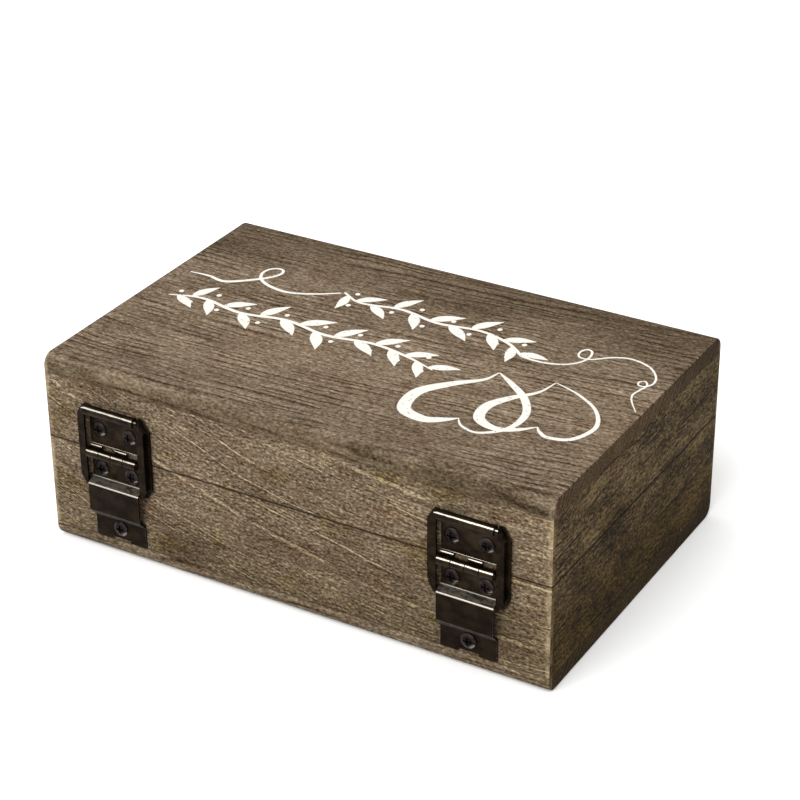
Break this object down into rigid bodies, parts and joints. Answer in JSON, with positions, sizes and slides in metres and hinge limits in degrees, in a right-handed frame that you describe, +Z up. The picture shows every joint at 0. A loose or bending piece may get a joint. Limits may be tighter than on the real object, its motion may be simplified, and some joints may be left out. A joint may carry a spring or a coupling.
{
  "type": "wedding card box",
  "caption": "Low rectangular keepsake box of stained wood, lid joined to the base by snap-support hinges on its back, white decorative print on the lid.",
  "frame": {"origin": "middle of the box's underside, on the surface that it stands on", "axes": "+Z up; +X along the box's length, towards the right end as seen from the front; +Y out of the back, where the hinges are"},
  "size_m": [0.2, 0.1352, 0.074],
  "materials": {
    "base_wood": "grey-brown stain on solid softwood, matt, grain left open",
    "lid_wood": "grey-brown stain on solid softwood, matt, grain left open",
    "hinge_sheet": "dark antique bronze on bent steel sheet, worn bright along its bends",
    "hinge_link": "dark antique bronze on stamped steel, worn bright along its edges",
    "screw_steel": "dark antique bronze on steel screws",
    "white_print": "thin matt white ink with small worn gaps"
  },
  "bodies": {
    "base": {"base_bottom_panel": "base_wood", "base_front_wall": "base_wood", "base_back_wall": "base_wood", "base_left_end": "base_wood", "base_right_end": "base_wood", "base_leaf_left": "hinge_sheet", "hinge_pin_left": "hinge_sheet", "spring_tongue_left": "hinge_sheet", "base_screw_left_1": "screw_steel", "base_screw_left_2": "screw_steel", "tongue_screw_left": "screw_steel", "base_leaf_right": "hinge_sheet", "hinge_pin_right": "hinge_sheet", "spring_tongue_right": "hinge_sheet", "base_screw_right_1": "screw_steel", "base_screw_right_2": "screw_steel", "tongue_screw_right": "screw_steel"},
    "lid": {"lid_top_panel": "lid_wood", "lid_front_wall": "lid_wood", "lid_back_wall": "lid_wood", "lid_left_end": "lid_wood", "lid_right_end": "lid_wood", "lid_leaf_left": "hinge_sheet", "lid_screw_left_1": "screw_steel", "lid_screw_left_2": "screw_steel", "lid_leaf_right": "hinge_sheet", "lid_screw_right_1": "screw_steel", "lid_screw_right_2": "screw_steel"},
    "link_left": {"link_frame_left": "hinge_link"},
    "link_right": {"link_frame_right": "hinge_link"}
  },
  "joints": [
    {"name": "lid_hinge", "type": "hinge", "parent": "base", "child": "lid", "pos_m": [0, 0.06805, 0.042], "axis": [-1, 0, 0], "range_deg": [0, 90], "deforming": ["spring_tongue_left", "spring_tongue_right"]},
    {"name": "link_left_pivot", "type": "hinge", "parent": "lid", "child": "link_left", "pos_m": [-0.0703, 0.06805, 0.059], "axis": [1, 0, 0], "range_deg": [0, 54.5]},
    {"name": "link_right_pivot", "type": "hinge", "parent": "lid", "child": "link_right", "pos_m": [0.0703, 0.06805, 0.059], "axis": [1, 0, 0], "range_deg": [0, 54.5]}
  ],
  "couplings": [
    {"joint": "link_left_pivot", "follows": "lid_hinge", "ratio": 0.60284},
    {"joint": "link_right_pivot", "follows": "lid_hinge", "ratio": 0.60284}
  ]
}
